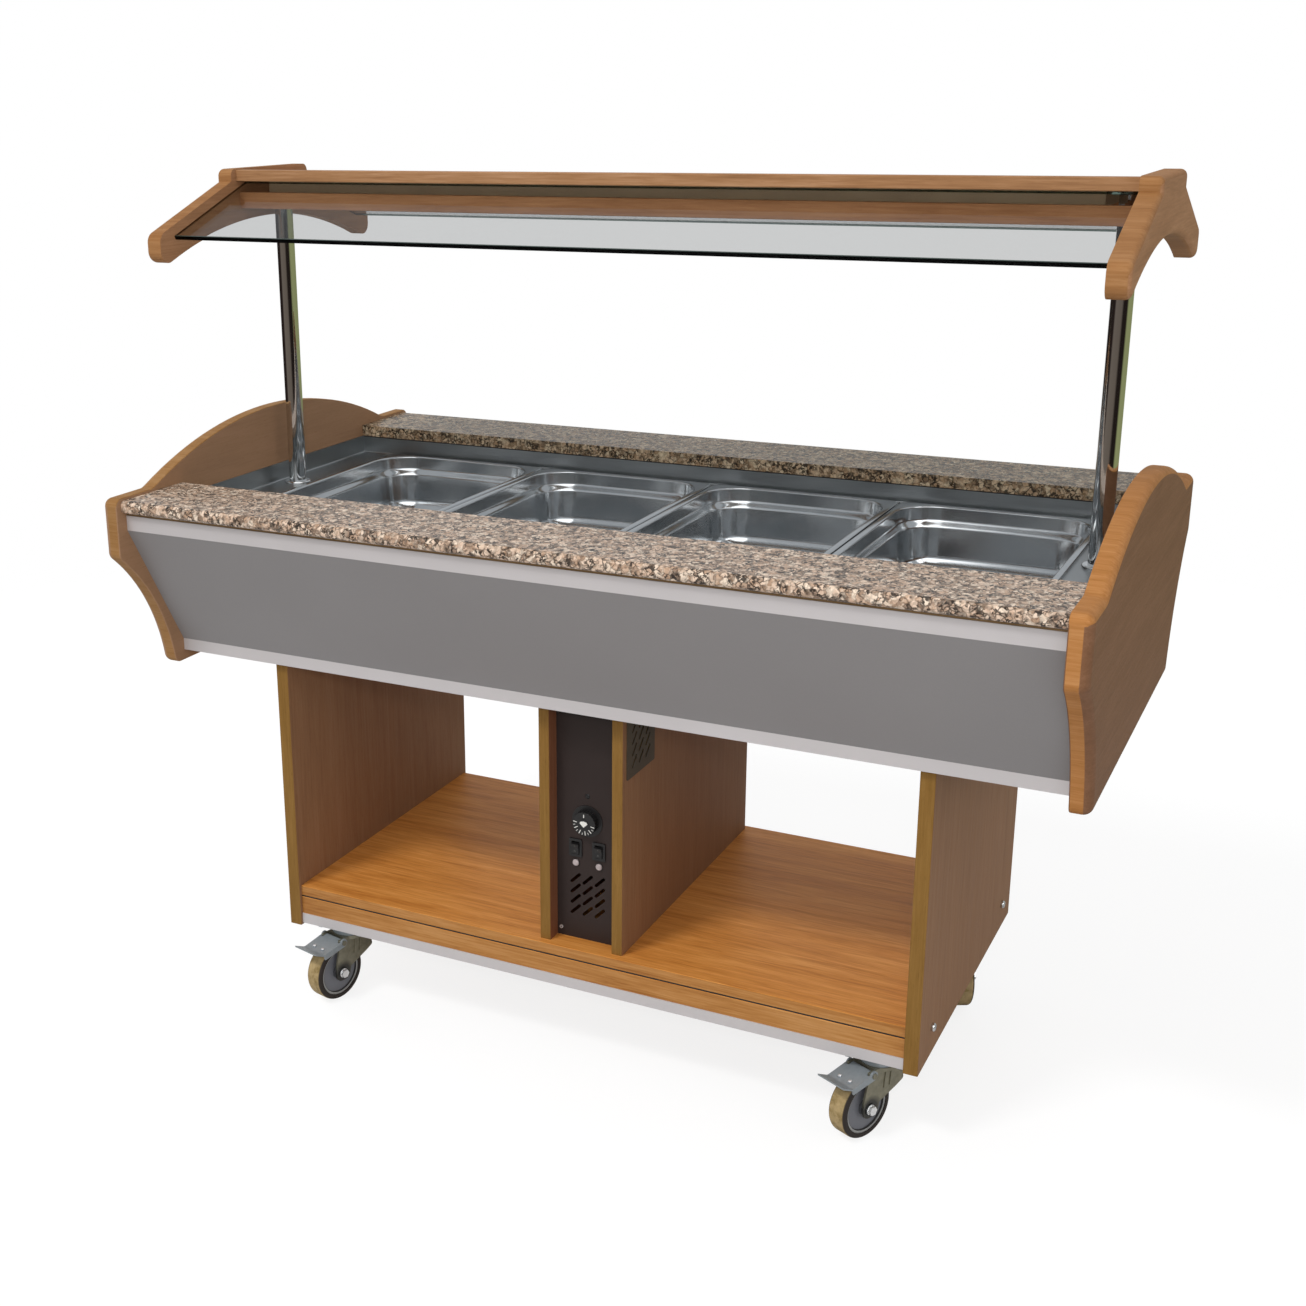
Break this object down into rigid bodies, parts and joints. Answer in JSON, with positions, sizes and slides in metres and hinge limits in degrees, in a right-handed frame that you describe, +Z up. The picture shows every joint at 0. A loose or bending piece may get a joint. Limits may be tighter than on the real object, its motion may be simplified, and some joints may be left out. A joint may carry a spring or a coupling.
{
  "type": "hot buffet counter",
  "caption": "Mobile hot buffet counter: beech-panelled tub with a heated well of food pans, stone tray shelves, glass canopy on posts and a shelf base on castors.",
  "frame": {"origin": "on the floor under the middle of the counter", "axes": "+X along the counter, to the right as seen from the control side; +Y from the control side to the rear; +Z up"},
  "size_m": [1.51, 0.88, 1.372],
  "materials": {
    "beech": "satin beech laminate",
    "brown_laminate": "satin brown laminate with ochre edging",
    "grey_laminate": "matte grey laminate",
    "softwood": "planed softwood",
    "granite": "polished speckled granite",
    "aluminium_trim": "satin anodised",
    "stainless": "satin stainless sheet",
    "chrome": "polished",
    "panel_black": "fine-textured dark brown-black powder coat",
    "grille_grey": "grey powder coat",
    "black_plastic": "moulded black plastic",
    "pilot_lens": "pale clear lens",
    "clear_glass": "clear flat glass",
    "lamp_white": "opal diffuser",
    "brass": "dull brass",
    "lever_steel": "dark enamel",
    "castor_zinc": "zinc plated pressing",
    "wheel_grey": "moulded grey plastic",
    "tyre_cream": "pale rubber tread"
  },
  "bodies": {
    "counter": {"base_shelf": "beech", "plinth_rails": "beech", "end_panel_left": "beech", "end_panel_right": "beech", "canopy_board": "beech", "canopy_fascias": "beech", "canopy_bracket_left": "beech", "canopy_bracket_right": "beech", "leg_panel_left": "brown_laminate", "leg_panel_right": "brown_laminate", "column_panel_left": "brown_laminate", "column_panel_right": "brown_laminate", "tub_floor": "brown_laminate", "valance_front": "grey_laminate", "valance_rear": "grey_laminate", "granite_bearers": "softwood", "column_cleats": "softwood", "granite_front": "granite", "granite_rear": "granite", "trim_strips": "aluminium_trim", "well_tank": "stainless", "pan_bars": "stainless", "heating_element": "stainless", "canopy_posts": "chrome", "leg_bolts": "chrome", "assembly_screws": "chrome", "control_panel": "panel_black", "column_back_panel": "panel_black", "side_grille": "grille_grey", "thermostat_body": "black_plastic", "switch_housings": "black_plastic", "cable_gland": "black_plastic", "pilot_lamps": "pilot_lens", "glass_front": "clear_glass", "glass_rear": "clear_glass", "canopy_lamp": "lamp_white", "drain_pipe": "brass", "castor_plates": "castor_zinc"},
    "swivel_front_left": {"castor_fork_front_left": "castor_zinc"},
    "wheel_front_left": {"castor_wheel_front_left": "wheel_grey", "castor_tyre_front_left": "tyre_cream"},
    "pedal_front_left": {"brake_pedal_front_left": "castor_zinc"},
    "swivel_front_right": {"castor_fork_front_right": "castor_zinc"},
    "wheel_front_right": {"castor_wheel_front_right": "wheel_grey", "castor_tyre_front_right": "tyre_cream"},
    "pedal_front_right": {"brake_pedal_front_right": "castor_zinc"},
    "swivel_rear_left": {"castor_fork_rear_left": "castor_zinc"},
    "wheel_rear_left": {"castor_wheel_rear_left": "wheel_grey", "castor_tyre_rear_left": "tyre_cream"},
    "swivel_rear_right": {"castor_fork_rear_right": "castor_zinc"},
    "wheel_rear_right": {"castor_wheel_rear_right": "wheel_grey", "castor_tyre_rear_right": "tyre_cream"},
    "knob": {"thermostat_knob": "black_plastic"},
    "rocker_heat": {"rocker_heat": "black_plastic"},
    "rocker_light": {"rocker_light": "black_plastic"},
    "pan_1": {"pan_1": "stainless"},
    "pan_2": {"pan_2": "stainless"},
    "pan_3": {"pan_3": "stainless"},
    "pan_4": {"pan_4": "stainless"},
    "lever": {"drain_lever": "lever_steel"}
  },
  "joints": [
    {"name": "swivel_turn_front_left", "type": "hinge", "parent": "counter", "child": "swivel_front_left", "pos_m": [-0.457, -0.2425, 0.1124], "axis": [0, 0, 1], "continuous": true},
    {"name": "wheel_spin_front_left", "type": "hinge", "parent": "swivel_front_left", "child": "wheel_front_left", "pos_m": [-0.46619, -0.27937, 0.05], "axis": [0.9703, -0.2419, 0], "continuous": true},
    {"name": "brake_front_left", "type": "hinge", "parent": "swivel_front_left", "child": "pedal_front_left", "pos_m": [-0.46571, -0.27743, 0.1062], "axis": [0.9703, -0.2419, 0], "range_deg": [0, 10]},
    {"name": "swivel_turn_front_right", "type": "hinge", "parent": "counter", "child": "swivel_front_right", "pos_m": [0.475, -0.2425, 0.1124], "axis": [0, 0, 1], "continuous": true},
    {"name": "wheel_spin_front_right", "type": "hinge", "parent": "swivel_front_right", "child": "wheel_front_right", "pos_m": [0.45834, -0.27665, 0.05], "axis": [0.8988, -0.4384, 0], "continuous": true},
    {"name": "brake_front_right", "type": "hinge", "parent": "swivel_front_right", "child": "pedal_front_right", "pos_m": [0.45922, -0.27486, 0.1062], "axis": [0.8988, -0.4384, 0], "range_deg": [0, 10]},
    {"name": "swivel_turn_rear_left", "type": "hinge", "parent": "counter", "child": "swivel_rear_left", "pos_m": [-0.457, 0.205, 0.1124], "axis": [0, 0, 1], "continuous": true},
    {"name": "wheel_spin_rear_left", "type": "hinge", "parent": "swivel_rear_left", "child": "wheel_rear_left", "pos_m": [-0.42345, 0.18716, 0.05], "axis": [0.4695, 0.8829, 0], "continuous": true},
    {"name": "swivel_turn_rear_right", "type": "hinge", "parent": "counter", "child": "swivel_rear_right", "pos_m": [0.475, 0.205, 0.1124], "axis": [0, 0, 1], "continuous": true},
    {"name": "wheel_spin_rear_right", "type": "hinge", "parent": "swivel_rear_right", "child": "wheel_rear_right", "pos_m": [0.49284, 0.17145, 0.05], "axis": [0.8829, 0.4695, 0], "continuous": true},
    {"name": "thermostat_turn", "type": "hinge", "parent": "counter", "child": "knob", "pos_m": [0, -0.246, 0.402], "axis": [0, 1, 0], "range_deg": [0, 270]},
    {"name": "switch_heat", "type": "hinge", "parent": "counter", "child": "rocker_heat", "pos_m": [-0.02, -0.246, 0.354], "axis": [-1, 0, 0], "range_deg": [0, 16]},
    {"name": "switch_light", "type": "hinge", "parent": "counter", "child": "rocker_light", "pos_m": [0.02, -0.246, 0.354], "axis": [-1, 0, 0], "range_deg": [0, 16]},
    {"name": "pan_lift_1", "type": "slide", "parent": "counter", "child": "pan_1", "axis": [0, 0, 1], "range_m": [0, 0.25]},
    {"name": "pan_lift_2", "type": "slide", "parent": "counter", "child": "pan_2", "axis": [0, 0, 1], "range_m": [0, 0.25]},
    {"name": "pan_lift_3", "type": "slide", "parent": "counter", "child": "pan_3", "axis": [0, 0, 1], "range_m": [0, 0.25]},
    {"name": "pan_lift_4", "type": "slide", "parent": "counter", "child": "pan_4", "axis": [0, 0, 1], "range_m": [0, 0.25]},
    {"name": "drain_valve", "type": "hinge", "parent": "counter", "child": "lever", "pos_m": [0, 0.277, 0.392], "axis": [0, -1, 0], "range_deg": [0, 90]}
  ]
}
